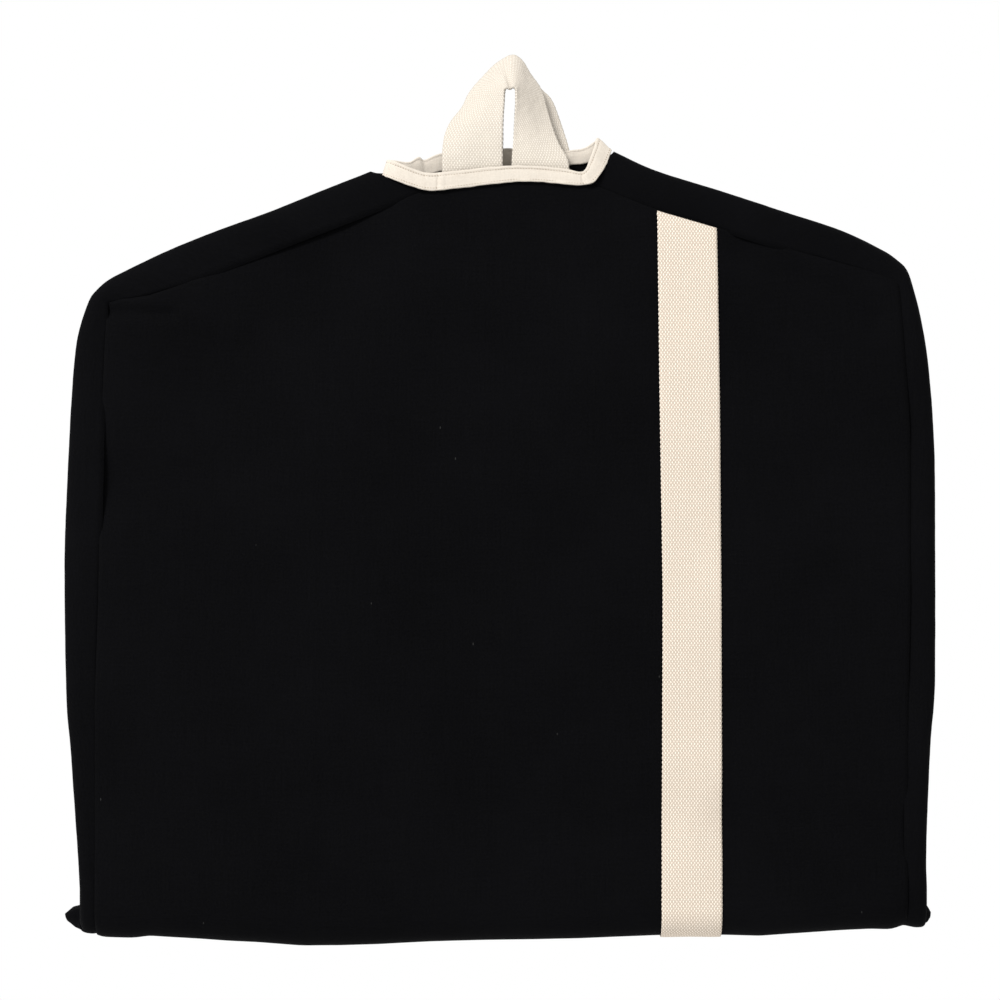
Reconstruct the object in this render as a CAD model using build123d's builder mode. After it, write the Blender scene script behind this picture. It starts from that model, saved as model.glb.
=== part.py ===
"""A canvas garment bag, folded in half, with webbing handles at the neck and a webbing stripe.

Units are millimetres. +Z is up, +X is the wearer's left, -Y is the striped face.
The origin is where a hook bears, under the tops of the two handles.
The bag hangs from there: its upper half is in front of the plane Y = 0, and its lower half is
folded up behind it.
"""

import math
import os

from build123d import *

# Driving dimensions
CANVAS = 1.0  # thickness of the canvas, with its seam allowance
WEBBING = 1.5  # thickness of the webbing
WEBBING_WIDTH = 40.0
COLLAR_HEIGHT = 13.0
COLLAR_THICKNESS = 2.2  # canvas folded over the neck edge

NECK_HALF = 55.0  # middle of the neck to the shoulder seam
NECK_Z = -66.0  # front neck seam, at the shoulder seams
NECK_RISE = 3.0  # the front neck seam is this much higher in the middle
BACK_NECK_Z = -53.0  # back neck seam
SHOULDER_X, SHOULDER_Z = 261.0, -133.0  # outer end of the shoulder seam
SHOULDER_ROUND = 14.0
SIDE_X = 268.0  # side seam, at the fold
FOLD_Z = -564.0  # lowest point of the fold
LOWER_SIDE_X = 264.0
HEM_Z = -172.0  # seam of the bottom gusset, with the bag folded
HEM_ROUND = 20.0

HALF_DEPTH = 6.0  # inside each half, from its middle to the face of a panel
GUSSET_REACH = 21.0  # how far a gusset stands out past its seam
HALVES_GAP = 9.0  # between the two halves, where the zip slider runs
NECK_END = (25.0, 16.0)  # direction of the gusset's edge at the neck, in X and Z

STRIPE_X = 120.0  # middle of the webbing stripe
CLEAR = 0.1  # between sewn layers
HALF_SECTOR = 35.0  # degrees of the fold's turn that stay on each half
STRIP_SECTOR = 43.0  # degrees from each half to the fold strip, which leaves it room to swing
BUNCH_REACH = 12.0  # how far the gusset stands out where it bunches in the fold

ZIP_SLOT = 0.8  # half the slot between the coils, where the slider's wedge runs
COIL_WIDTH, COIL_DEPTH = 2.4, 2.2
TAPE_EDGE = 16.0  # outer edge of each zip tape
TAPE_THICKNESS = 0.8
PANEL_ZIP_EDGE = 6.0  # edge of each back panel beside the zip
SLIDER_Z = -74.0  # middle of the slider, closed

HANDLE_TOP = 20.0  # top of the handles
HANDLE_SLOT = 3.5  # half the slot between a handle's legs
HANDLE_HALF = 42.0  # middle of a handle to the outer edge of a leg, at the collar
HANDLE_APART = 3.2  # between the middles of the two handles, at their tops
FRONT_HANDLE_Z = -49.2  # lower end of the loose part of each handle
BACK_HANDLE_Z = -39.0
TAIL_HEIGHT = 10.0  # sewn end of each handle's leg

# Sizes that follow
PANEL_IN = HALF_DEPTH + CLEAR
PANEL_OUT = PANEL_IN + CANVAS
LOWER_Y = PANEL_OUT + HALVES_GAP / 2  # middle of the lower half
UPPER_Y = -LOWER_Y  # middle of the upper half
FOLD_RADIUS = LOWER_Y + PANEL_OUT  # outside of the striped panel at the fold
FOLD_CENTRE_Z = FOLD_Z + FOLD_RADIUS
INNER_RADIUS = LOWER_Y - PANEL_IN
SHOULDER_SLOPE = (SHOULDER_Z - NECK_Z) / (SHOULDER_X - NECK_HALF)
STRIPE_EDGES = (STRIPE_X - WEBBING_WIDTH / 2, STRIPE_X + WEBBING_WIDTH / 2)
STRIPE_LAP = CLEAR + WEBBING
TAPE_FACE = INNER_RADIUS + CLEAR  # distance of the zip tapes and coils from the plane Y = 0
COIL_FACE = HALVES_GAP / 2

os.makedirs("parts", exist_ok=True)


def save(builder, name):
    """Labels a finished piece and writes its file."""
    builder.part.label = name
    export_step(builder.part, f"parts/{name}.step")


def save_mirrored(right_piece, name):
    """Writes a right-hand piece, and its mirror image as the left-hand one."""
    save(right_piece, f"{name}_right")
    with BuildPart() as left_piece:
        mirror(right_piece.part, about=Plane.YZ)
    save(left_piece, f"{name}_left")


def upright(y):
    """The X-Z plane at this Y. What is drawn on it is extruded towards -Y."""
    return Plane.XZ.offset(-y)


def seam_height(x):
    """Height of the shoulder seam at this X."""
    return NECK_Z + SHOULDER_SLOPE * (abs(x) - NECK_HALF)


def fold_sector(stretch):
    """The sector round the fold, in the plane Plane.YZ, that a stretch of the bag takes.

    The stretches are "upper", "fold" and "lower". The fold is a strip that hinges on both halves.
    """
    far = 60.0
    if stretch == "fold":
        drop = far * math.tan(math.radians(STRIP_SECTOR))
        corners = [(0, 0), (-far, -drop), (far, -drop)]
    else:
        side = -1 if stretch == "upper" else 1
        drop = far * math.tan(math.radians(HALF_SECTOR))
        corners = [(0, 0), (side * far, 0), (side * far, -drop)]
    with BuildSketch(Plane.YZ) as sector:
        with BuildLine():
            Polyline(*[(y, FOLD_CENTRE_Z + z) for y, z in corners], close=True)
        make_face()
    return sector.sketch_local


def fold_layer(radius, thickness, near, far, stretch):
    """One stretch of a layer that runs round the fold. Near and far are its edges in X."""
    with BuildPart() as wrap:
        with BuildSketch(Plane.YZ.offset(near)):
            with Locations((0, FOLD_CENTRE_Z)):
                Circle(radius)
                Circle(radius - thickness, mode=Mode.SUBTRACT)
            add(fold_sector(stretch), mode=Mode.INTERSECT)
        extrude(amount=far - near)
    return wrap


def gusset_room(stretch):
    """The room for one half's gusset: the half's own depth, rounded off where the fold starts."""
    side = -1 if stretch == "upper" else 1
    with BuildPart() as room:
        with BuildSketch(Plane.YZ.offset(-400)):
            with Locations((0, FOLD_CENTRE_Z)):
                Circle(FOLD_RADIUS - CANVAS - CLEAR)
            add(fold_sector(stretch), mode=Mode.INTERSECT)
            with Locations((side * LOWER_Y, FOLD_CENTRE_Z)):
                Rectangle(2 * HALF_DEPTH + 2, 700, align=(Align.CENTER, Align.MIN))
        extrude(amount=800)
    return room.part


def gusset_profile(path, outward, reach=GUSSET_REACH, depth=HALF_DEPTH, thickness=CANVAS):
    """A sketch, on the start of a path, of the half oval that a gusset takes between its seams."""
    with BuildSketch(Plane(origin=path @ 0, x_dir=outward, z_dir=path % 0)) as profile:
        Ellipse(reach, depth)
        Ellipse(reach - thickness, depth - thickness, mode=Mode.SUBTRACT)
        Rectangle(2 * reach, 3 * depth, align=(Align.MAX, Align.CENTER), mode=Mode.SUBTRACT)
    return profile.sketch


# Upper half: striped front panel, from the neck to the bottom of the fold
with BuildPart() as front_panel_upper:
    with BuildSketch(upright(UPPER_Y - PANEL_IN)):
        with BuildLine():
            neck = ThreePointArc((-NECK_HALF, NECK_Z), (0, NECK_Z + NECK_RISE), (NECK_HALF, NECK_Z))
            right = FilletPolyline(
                neck @ 1, (SHOULDER_X, SHOULDER_Z), (SIDE_X, FOLD_CENTRE_Z), radius=SHOULDER_ROUND
            )
            left = FilletPolyline(
                neck @ 0, (-SHOULDER_X, SHOULDER_Z), (-SIDE_X, FOLD_CENTRE_Z), radius=SHOULDER_ROUND
            )
            Line(right @ 1, left @ 1)
        make_face()
    extrude(amount=CANVAS)
    add(fold_layer(FOLD_RADIUS, CANVAS, -SIDE_X, SIDE_X, "upper").part)
save(front_panel_upper, "front_panel_upper")

# The same panel where it runs round the fold
front_panel_fold = fold_layer(FOLD_RADIUS, CANVAS, -SIDE_X, SIDE_X, "fold")
save(front_panel_fold, "front_panel_fold")

# Lower half of the striped panel, behind, from the fold to the hem
with BuildPart() as front_panel_lower:
    with BuildSketch(upright(LOWER_Y + PANEL_OUT)):
        with BuildLine():
            hem = FilletPolyline(
                (-SIDE_X, FOLD_CENTRE_Z),
                (-LOWER_SIDE_X, HEM_Z),
                (LOWER_SIDE_X, HEM_Z),
                (SIDE_X, FOLD_CENTRE_Z),
                radius=HEM_ROUND,
            )
            Line(hem @ 1, hem @ 0)
        make_face()
    extrude(amount=CANVAS)
    add(fold_layer(FOLD_RADIUS, CANVAS, -SIDE_X, SIDE_X, "lower").part)
save(front_panel_lower, "front_panel_lower")


# Back panels, one each side of the zip
def back_panel_upper():
    """The right back panel of the upper half."""
    with BuildPart() as panel:
        with BuildSketch(upright(UPPER_Y + PANEL_OUT)):
            with BuildLine():
                top = Line((PANEL_ZIP_EDGE, BACK_NECK_Z), (NECK_HALF, BACK_NECK_Z))
                side = FilletPolyline(
                    top @ 1, (SHOULDER_X, SHOULDER_Z), (SIDE_X, FOLD_CENTRE_Z), radius=SHOULDER_ROUND
                )
                Polyline(side @ 1, (PANEL_ZIP_EDGE, FOLD_CENTRE_Z), top @ 0)
            make_face()
        extrude(amount=CANVAS)
        add(fold_layer(INNER_RADIUS, CANVAS, PANEL_ZIP_EDGE, SIDE_X, "upper").part)
    return panel


def back_panel_fold():
    """The right back panel inside the fold."""
    return fold_layer(INNER_RADIUS, CANVAS, PANEL_ZIP_EDGE, SIDE_X, "fold")


def back_panel_lower():
    """The right back panel of the lower half."""
    with BuildPart() as panel:
        with BuildSketch(upright(LOWER_Y - PANEL_IN)):
            with BuildLine():
                edge = FilletPolyline(
                    (PANEL_ZIP_EDGE, HEM_Z),
                    (LOWER_SIDE_X, HEM_Z),
                    (SIDE_X, FOLD_CENTRE_Z),
                    radius=HEM_ROUND,
                )
                Polyline(edge @ 1, (PANEL_ZIP_EDGE, FOLD_CENTRE_Z), edge @ 0)
            make_face()
        extrude(amount=CANVAS)
        add(fold_layer(INNER_RADIUS, CANVAS, PANEL_ZIP_EDGE, SIDE_X, "lower").part)
    return panel




save_mirrored(back_panel_upper(), "back_panel_upper")
save_mirrored(back_panel_fold(), "back_panel_fold")
save_mirrored(back_panel_lower(), "back_panel_lower")

# The neck end of the gusset: a plane through the shoulder seam, facing up and inwards
END_LENGTH = math.hypot(*NECK_END)
END_DIRECTION = Vector(NECK_END[0], 0, NECK_END[1]) / END_LENGTH
END_NORMAL = Vector(-NECK_END[1], 0, NECK_END[0]) / END_LENGTH
NECK_PLANE = Plane(origin=(NECK_HALF, UPPER_Y, NECK_Z), x_dir=END_DIRECTION, z_dir=END_NORMAL)
SHOULDER_ANGLE = math.atan(SHOULDER_SLOPE)
SHOULDER_OUT = Vector(-math.sin(SHOULDER_ANGLE), 0, math.cos(SHOULDER_ANGLE))
# the gusset's reach, measured along its slanting end
COLLAR_REACH = GUSSET_REACH / END_DIRECTION.dot(SHOULDER_OUT)


def side_gusset_upper():
    """The right gusset, along the shoulder and down the side of the upper half."""
    spare = 30.0  # past the neck end, trimmed off below
    with BuildPart() as gusset:
        with BuildLine(upright(UPPER_Y)):
            run = FilletPolyline(
                (NECK_HALF - spare, NECK_Z - spare * SHOULDER_SLOPE),
                (SHOULDER_X, SHOULDER_Z),
                (SIDE_X, FOLD_Z),
                radius=SHOULDER_ROUND,
            )
        add(gusset_profile(run, SHOULDER_OUT))
        sweep(path=run)
        split(bisect_by=NECK_PLANE, keep=Keep.BOTTOM)
        add(gusset_room("upper"), mode=Mode.INTERSECT)
    return gusset


def side_gusset_lower():
    """The right gusset of the lower half, from the fold round the corner of the hem."""
    with BuildPart() as gusset:
        with BuildLine(upright(LOWER_Y)):
            side = Line((SIDE_X, FOLD_Z), (LOWER_SIDE_X, HEM_Z - HEM_ROUND))
            JernArc(side @ 1, side % 1, radius=HEM_ROUND, arc_size=90)
        run = gusset.pending_edges_as_wire
        add(gusset_profile(run, (1, 0, 0)))
        sweep(path=run)
        add(gusset_room("lower"), mode=Mode.INTERSECT)
    return gusset


def side_gusset_fold():
    """The right gusset, bunched up in the fold."""
    return fold_layer(
        FOLD_RADIUS - CANVAS - CLEAR,
        2 * HALF_DEPTH,
        SIDE_X + CLEAR,
        SIDE_X + BUNCH_REACH,
        "fold",
    )


save_mirrored(side_gusset_upper(), "side_gusset_upper")
save_mirrored(side_gusset_fold(), "side_gusset_fold")
save_mirrored(side_gusset_lower(), "side_gusset_lower")


# Gusset across the hem, between the two lower side gussets
with BuildPart() as hem_gusset:
    hem_half = LOWER_SIDE_X - HEM_ROUND - 1.0
    with BuildLine(upright(LOWER_Y)):
        hem_run = Line((-hem_half, HEM_Z), (hem_half, HEM_Z))
    add(gusset_profile(hem_run, (0, 0, 1)))
    sweep(path=hem_run)
save(hem_gusset, "hem_gusset")

# Collar of folded canvas round the neck: front, back and over each gusset
COLLAR_RISE = END_NORMAL * COLLAR_HEIGHT
with BuildPart() as front_collar:
    with BuildSketch(upright(UPPER_Y - PANEL_IN)):
        with BuildLine():
            foot = ThreePointArc(
                (-NECK_HALF, NECK_Z + CLEAR),
                (0, NECK_Z + NECK_RISE + CLEAR),
                (NECK_HALF, NECK_Z + CLEAR),
            )
            ridge = ThreePointArc(
                (-NECK_HALF - COLLAR_RISE.X, NECK_Z + COLLAR_RISE.Z),
                (0, NECK_Z + NECK_RISE + COLLAR_HEIGHT),
                (NECK_HALF + COLLAR_RISE.X, NECK_Z + COLLAR_RISE.Z),
            )
            Line(foot @ 0, ridge @ 0)
            Line(foot @ 1, ridge @ 1)
        make_face()
    extrude(amount=COLLAR_THICKNESS)
save(front_collar, "front_collar")

with BuildPart() as back_collar:
    with BuildSketch(upright(UPPER_Y + PANEL_IN + COLLAR_THICKNESS)):
        with BuildLine():
            Polyline(
                (-NECK_HALF, BACK_NECK_Z + CLEAR),
                (NECK_HALF, BACK_NECK_Z + CLEAR),
                (NECK_HALF - 3, BACK_NECK_Z + COLLAR_HEIGHT),
                (3 - NECK_HALF, BACK_NECK_Z + COLLAR_HEIGHT),
                close=True,
            )
        make_face()
    extrude(amount=COLLAR_THICKNESS)
save(back_collar, "back_collar")


def gusset_collar():
    """The collar over the neck end of the right gusset."""
    with BuildPart() as collar:
        with BuildSketch(NECK_PLANE.offset(CLEAR)):
            Ellipse(COLLAR_REACH, HALF_DEPTH)
            Ellipse(
                COLLAR_REACH - COLLAR_THICKNESS, HALF_DEPTH - COLLAR_THICKNESS, mode=Mode.SUBTRACT
            )
            Rectangle(100, 100, align=(Align.MAX, Align.CENTER), mode=Mode.SUBTRACT)
        extrude(amount=COLLAR_HEIGHT)
    return collar


save_mirrored(gusset_collar(), "gusset_collar")


def layer(near, far, face, thickness, end_z, stretch):
    """One stretch of a strip that runs down the upper half, round the fold and up the lower half.

    Near and far are its edges in X. Face is the distance of its nearer face from the plane Y = 0.
    End_z is where it stops on a half. It plays no part in the fold.
    """
    strip = fold_layer(face + thickness, thickness, near, far, stretch)
    if stretch != "fold":
        side = -1 if stretch == "upper" else 1
        with strip:
            with Locations(((near + far) / 2, side * (face + thickness / 2), FOLD_CENTRE_Z)):
                Box(
                    far - near,
                    thickness,
                    end_z - FOLD_CENTRE_Z,
                    align=(Align.CENTER, Align.CENTER, Align.MIN),
                )
    return strip


# Webbing stripe down the panel, round the fold and up behind
STRIPE_NEAR, STRIPE_FAR = STRIPE_EDGES
STRIPE_TOP = seam_height(STRIPE_NEAR) - 1
STRIPE_FACE = FOLD_RADIUS + CLEAR
with BuildPart() as stripe_upper:
    add(layer(STRIPE_NEAR, STRIPE_FAR, STRIPE_FACE, WEBBING, STRIPE_TOP, "upper").part)
    with BuildSketch(upright(0)):
        with BuildLine():
            Polyline(
                (STRIPE_NEAR, STRIPE_TOP),
                (STRIPE_FAR, seam_height(STRIPE_FAR) - 1),
                (STRIPE_FAR, STRIPE_TOP + 1),
                (STRIPE_NEAR, STRIPE_TOP + 1),
                close=True,
            )
        make_face()
    extrude(amount=2 * FOLD_RADIUS, mode=Mode.SUBTRACT)
save(stripe_upper, "stripe_upper")
for stretch in ("fold", "lower"):
    stripe = layer(STRIPE_NEAR, STRIPE_FAR, STRIPE_FACE, WEBBING, HEM_Z - 2, stretch)
    save(stripe, f"stripe_{stretch}")

# Zip up the middle of the back panels, across the fold. Its left side mirrors its right
ZIP_TOP = BACK_NECK_Z - 6
ZIP_FOOT = HEM_Z - 6
COIL_EDGE = ZIP_SLOT + COIL_WIDTH
for stretch, zip_end in (("upper", ZIP_TOP), ("fold", ZIP_TOP), ("lower", ZIP_FOOT)):
    tape = layer(COIL_EDGE + CLEAR, TAPE_EDGE, TAPE_FACE, TAPE_THICKNESS, zip_end + 3, stretch)
    save_mirrored(tape, f"zip_tape_{stretch}")
    coil = layer(ZIP_SLOT, COIL_EDGE, COIL_FACE, COIL_DEPTH, zip_end, stretch)
    save_mirrored(coil, f"zip_coil_{stretch}")


def zip_top_stop():
    """The stop that the slider meets at the neck, on the right coil."""
    with BuildPart() as stop:
        with Locations((ZIP_SLOT + COIL_WIDTH / 2, -COIL_FACE - COIL_DEPTH / 2, ZIP_TOP + CLEAR)):
            Box(COIL_WIDTH, COIL_DEPTH, 3.0, align=(Align.CENTER, Align.CENTER, Align.MIN))
    return stop


save_mirrored(zip_top_stop(), "zip_top_stop")

with BuildPart() as zip_bottom_stop:
    with Locations((0, COIL_FACE + COIL_DEPTH / 2, ZIP_FOOT + CLEAR)):
        Box(2 * COIL_EDGE, COIL_DEPTH, 3.5, align=(Align.CENTER, Align.CENTER, Align.MIN))
save(zip_bottom_stop, "zip_bottom_stop")

# Zip slider: two plates joined by a wedge between the coils, and a bridge for the pull
PLATE = 1.1
SLIDER_WIDTH, SLIDER_LENGTH = 8.4, 11.0
PLATE_FACE = COIL_FACE - 0.3  # the plates clear the coils by this much
INNER_PLATE_FACE = COIL_FACE + COIL_DEPTH + 0.3
PULL_Y = -2.2  # axis of the pull
BRIDGE_WIDTH, BRIDGE_LENGTH, BRIDGE_OUT, BRIDGE_HOLE = 1.6, 7.0, 0.7, 4.4
with BuildPart() as slider_body:
    for near_face in (PLATE_FACE - PLATE, INNER_PLATE_FACE):
        with Locations((0, -near_face - PLATE / 2, SLIDER_Z)):
            Box(SLIDER_WIDTH, PLATE, SLIDER_LENGTH)
    fillet(slider_body.edges().filter_by(Axis.Y), radius=2.0)
    with Locations((0, -(PLATE_FACE + INNER_PLATE_FACE) / 2, SLIDER_Z + 1.5)):
        Box(ZIP_SLOT, INNER_PLATE_FACE - PLATE_FACE, 5.0)
    with BuildSketch(Plane.YZ.offset(-BRIDGE_WIDTH / 2)):
        with Locations((-(PLATE_FACE - PLATE + BRIDGE_OUT) / 2, SLIDER_Z)):
            Rectangle(PLATE_FACE - PLATE - BRIDGE_OUT, BRIDGE_LENGTH)
        with Locations((PULL_Y, SLIDER_Z)):
            Rectangle(1.6, BRIDGE_HOLE, mode=Mode.SUBTRACT)
    extrude(amount=BRIDGE_WIDTH)
save(slider_body, "slider_body")

# Zip pull: a flat tab with a window for the bridge. Its top bar runs under the bridge
PULL_THICKNESS, PULL_WIDTH, PULL_LENGTH, PULL_BAR = 0.8, 6.0, 18.0, 0.9
with BuildPart() as pull_tab:
    with BuildSketch(upright(PULL_Y + PULL_THICKNESS / 2)):
        with Locations((0, SLIDER_Z + PULL_BAR / 2)):
            Rectangle(PULL_WIDTH, PULL_LENGTH, align=(Align.CENTER, Align.MAX))
        with Locations((0, SLIDER_Z - PULL_BAR / 2)):
            Rectangle(PULL_WIDTH - 2.8, 5.2, align=(Align.CENTER, Align.MAX), mode=Mode.SUBTRACT)
    extrude(amount=PULL_THICKNESS)
    fillet(pull_tab.edges().filter_by(Axis.Y).group_by(Axis.Z)[0], radius=2.0)
save(pull_tab, "pull_tab")


def handle_plane(foot_y, foot_z, top_y):
    """A plane through the foot of a handle and its top, drawn with +X right and +Y up."""
    rise = Vector(0, top_y - foot_y, HANDLE_TOP - foot_z).normalized()
    return Plane(origin=(0, foot_y, foot_z), x_dir=(1, 0, 0), z_dir=Vector(1, 0, 0).cross(rise))


def handle_loop(foot_y, foot_z, top_y):
    """A webbing loop from its foot at the collar to its top, with a slot between its legs."""
    plane = handle_plane(foot_y, foot_z, top_y)
    tall = math.hypot(top_y - foot_y, HANDLE_TOP - foot_z)
    slot_top = tall * -foot_z / (HANDLE_TOP - foot_z)
    with BuildPart() as loop:
        with BuildSketch(plane):
            with BuildLine():
                Polyline(
                    (-HANDLE_HALF, 0),
                    (-HANDLE_HALF, tall - 55),
                    (-30, tall - 33),
                    (-15, tall - 9),
                    (-5, tall),
                    (5, tall),
                    (15, tall - 9),
                    (30, tall - 33),
                    (HANDLE_HALF, tall - 55),
                    (HANDLE_HALF, 0),
                    close=True,
                )
            make_face()
            with Locations((0, slot_top / 2 - 10)):
                SlotOverall(slot_top + 20, 2 * HANDLE_SLOT, rotation=90, mode=Mode.SUBTRACT)
        extrude(amount=WEBBING / 2, both=True)
    return loop


def handle_tails(face_y, top_z):
    """The two sewn ends of a handle, on a collar's face."""
    with BuildPart() as tails:
        middle = (HANDLE_HALF + HANDLE_SLOT) / 2
        with Locations((-middle, face_y, top_z), (middle, face_y, top_z)):
            Box(
                HANDLE_HALF - HANDLE_SLOT,
                WEBBING,
                TAIL_HEIGHT,
                align=(Align.CENTER, Align.CENTER, Align.MAX),
            )
    return tails


FRONT_HANDLE_Y = UPPER_Y - PANEL_IN + CLEAR + WEBBING / 2
BACK_HANDLE_Y = UPPER_Y + PANEL_IN + COLLAR_THICKNESS + CLEAR + WEBBING / 2
front_handle = handle_loop(FRONT_HANDLE_Y, FRONT_HANDLE_Z, -HANDLE_APART / 2)
save(front_handle, "front_handle")
back_handle = handle_loop(BACK_HANDLE_Y, BACK_HANDLE_Z, HANDLE_APART / 2)
save(back_handle, "back_handle")
front_handle_tails = handle_tails(FRONT_HANDLE_Y, FRONT_HANDLE_Z - 3)
save(front_handle_tails, "front_handle_tails")
back_handle_tails = handle_tails(BACK_HANDLE_Y, BACK_HANDLE_Z - 2)
save(back_handle_tails, "back_handle_tails")
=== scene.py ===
"""Looks of the folded garment bag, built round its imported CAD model.

Lengths are in millimetres until a mesh is made, which turns them into metres.
The upper half hangs in front, the lower half is folded up behind it, and y = 0 lies between them.
"""
import math

import bpy
import numpy as np
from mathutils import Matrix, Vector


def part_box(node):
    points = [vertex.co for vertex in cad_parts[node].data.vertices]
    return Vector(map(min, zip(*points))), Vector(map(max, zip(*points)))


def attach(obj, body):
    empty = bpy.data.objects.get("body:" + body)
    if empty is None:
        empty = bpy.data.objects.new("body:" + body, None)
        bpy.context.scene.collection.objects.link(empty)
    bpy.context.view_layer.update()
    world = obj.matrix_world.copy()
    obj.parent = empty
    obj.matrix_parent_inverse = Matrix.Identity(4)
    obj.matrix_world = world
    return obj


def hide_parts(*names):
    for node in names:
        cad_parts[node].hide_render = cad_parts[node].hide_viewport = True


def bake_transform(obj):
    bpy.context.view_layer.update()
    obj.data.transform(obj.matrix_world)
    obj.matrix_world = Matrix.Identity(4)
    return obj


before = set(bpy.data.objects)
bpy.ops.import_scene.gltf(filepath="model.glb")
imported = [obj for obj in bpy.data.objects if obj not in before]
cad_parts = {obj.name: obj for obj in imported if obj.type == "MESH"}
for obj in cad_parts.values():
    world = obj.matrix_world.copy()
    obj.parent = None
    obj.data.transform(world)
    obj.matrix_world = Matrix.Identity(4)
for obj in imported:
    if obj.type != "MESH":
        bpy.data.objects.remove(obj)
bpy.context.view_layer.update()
MM = 0.001

# ---------------------------------------------------------------- places from the frame
OUTER_RADIUS = -(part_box("front_panel_upper")[0] / MM).y  # outside of the striped panel, from the plane y = 0
INNER_RADIUS = -(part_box("back_collar")[0] / MM).y  # inside face of the back panels
HALF_Y = (OUTER_RADIUS + INNER_RADIUS - 1) / 2  # middle of each half
HEM_Z = (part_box("front_panel_lower")[1] / MM).z
HEM_RISE = 373  # from the fold to the hem, which the lower half's sides taper over
CORNER_X, CORNER_RADIUS = 244, 20  # where the hem's corners start to round, and how much
ZIP_EDGE = 5.6  # from the middle of the back to each back panel's edge at the zip
CANVAS = 0.9
WEBBING = 1.5
EYE = (-5.2, -1840.7, -270.3)  # place of the camera

# ---------------------------------------------------------------- outlines, (x, z)
SIDE_LEFT = [(-263.0, -140), (-265, -172), (-267.6, -236), (-269, -336), (-271.3, -401), (-271.3, -560)]
SIDE_RIGHT = [
    (257.5, -131), (259, -152), (262.4, -198), (264.4, -236), (264.4, -336), (263, -401), (262.4, -560),
]
SHOULDER_LEFT = [
    (-264.4, -141), (-257, -138.6), (-237, -136.2), (-219, -130), (-175, -114), (-110, -88.6), (-54.4, -66.6),
]
SHOULDER_RIGHT = [
    (55.8, -63), (93.2, -78), (137.8, -91.2), (164, -99.7), (207.3, -111.5), (234.8, -119), (258, -127),
]
FRONT_NECK = [(-41.3, -63.4), (-18.4, -60), (4.6, -58), (21, -58), (40.7, -60)]
OUTER_LEFT = [
    (-90.5, -54.8), (-122.7, -67.4), (-156, -80.9), (-192, -93.9), (-224, -106.9), (-252, -120.3),
    (-263, -126.2),
    (-270.3, -132.6), (-275, -139), (-280.8, -155.5), (-284, -172), (-286.7, -204.7), (-290, -270),
    (-291.3, -320),
    (-290, -401), (-287.3, -434), (-282.7, -500), (-281.2, -540),
]
SEAM_LEFT = [
    (-54.4, -67.6), (-110, -88.6), (-142, -101), (-175, -114), (-219, -130), (-237, -136.2), (-250, -137.6),
    (-258, -138.8), (-264.4, -141), (-264, -156), (-265, -172), (-266.4, -204.7), (-268, -270), (-269, -320),
    (-271.3, -401), (-271.3, -434), (-271.3, -500), (-271.3, -540),
]
OUTER_RIGHT = [
    (69.5, -41.5), (97, -54.0), (141, -67.8), (181, -80.9), (219, -93.4), (245.9, -106.2), (255.8, -112.8),
    (262.3, -119.6), (266.9, -133.4), (272.2, -155.5), (276.8, -188), (280.1, -237.5), (280.7, -303),
    (280.7, -369),
    (280.1, -401), (277.4, -434), (274.8, -500), (275.2, -540),
]
SEAM_RIGHT = [
    (55.8, -65), (93.2, -78), (137.8, -91.2), (172, -102), (207.3, -111.5), (234.8, -119), (246, -123),
    (254, -126), (257.5, -132), (259, -155.5), (261.5, -188), (264.4, -237.5), (264.4, -303), (264.4, -369),
    (263, -401), (262.6, -434), (262.4, -500), (262.4, -540),
]
FOLD_LINE = [
    (-283, -552), (-274, -554), (-266, -556.8), (-245, -557.2), (-235, -555.8), (-222, -556.7),
    (-202, -557.8),
    (-182, -559.3), (-163, -560.1), (-136, -562.2), (-110, -562.1), (-84, -561.3), (-51, -559.6),
    (-18, -558.6),
    (14, -558.2), (47, -557.5), (80, -556.2), (96, -555.5), (119, -555.0), (146, -555.3), (165, -555.8),
    (192, -553.9), (218, -552.2), (237, -551.3), (251, -551.9), (258, -549.6), (280, -548),
]
TURN_Z = -526.0  # where the gussets' stations along the halves end
INNER_FOLD_CENTRE = -540.0  # centre of the innermost layers' turn
FOLD_START, FOLD_END = (0, -12, -538), (0, -1, -545)  # where cloth passes from a half to the fold strip

# Soft ridges and dips in the striped panel: x, z at each end, width, height
CREASES = [
    (-117, -93, -248, -251, 34, -1.5),
    (-60, -120, -150, -290, 26, 0.8),
    (-124, -140, -131, -545, 3.2, 0.1),
    (-118, -170, -122, -540, 2.6, -0.06),
    (-15, -95, -13, -520, 3.0, 0.07),
    (155, -103, 240, -152, 11, -1.3),
    (170, -128, 256, -216, 16, 0.7),
    (-175, -470, 95, -484, 22, -1.1),
    (150, -478, 258, -487, 18, -1.5),
    (-262, -262, -196, -256, 20, -0.9),
    (-236, -136, -180, -160, 9, 0.6),
    (-262, -146, -222, -148, 4.0, -1.0),
    (245, -300, 200, -330, 14, -0.5),
]


def behind(points, y, at=(0, 1)):
    """Points as seen against the striped panel's plane, carried along the line of sight to a depth y.

    Points are rows of numbers, and at says which two of them are x and z.
    """
    p = np.array(points, float)
    growth = (np.asarray(y, float) - EYE[1]) / (-OUTER_RADIUS - EYE[1])
    for column, eye in zip(at, (EYE[0], EYE[2])):
        p[:, column] = eye + (p[:, column] - eye) * growth
    return p


def along(points, x):
    """Height of an outline at each x, rounded where it bends."""
    xs, zs = np.array(points, float).T
    total = np.zeros_like(np.asarray(x, float))
    for shift, weight in ((-3.0, 0.25), (0.0, 0.5), (3.0, 0.25)):
        total = total + weight * np.interp(np.asarray(x) + shift, xs, zs)
    return total


def across(points, z):
    """x of a side outline at each z."""
    xs, zs = np.array(points, float)[::-1].T
    return np.interp(z, zs, xs)


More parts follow.
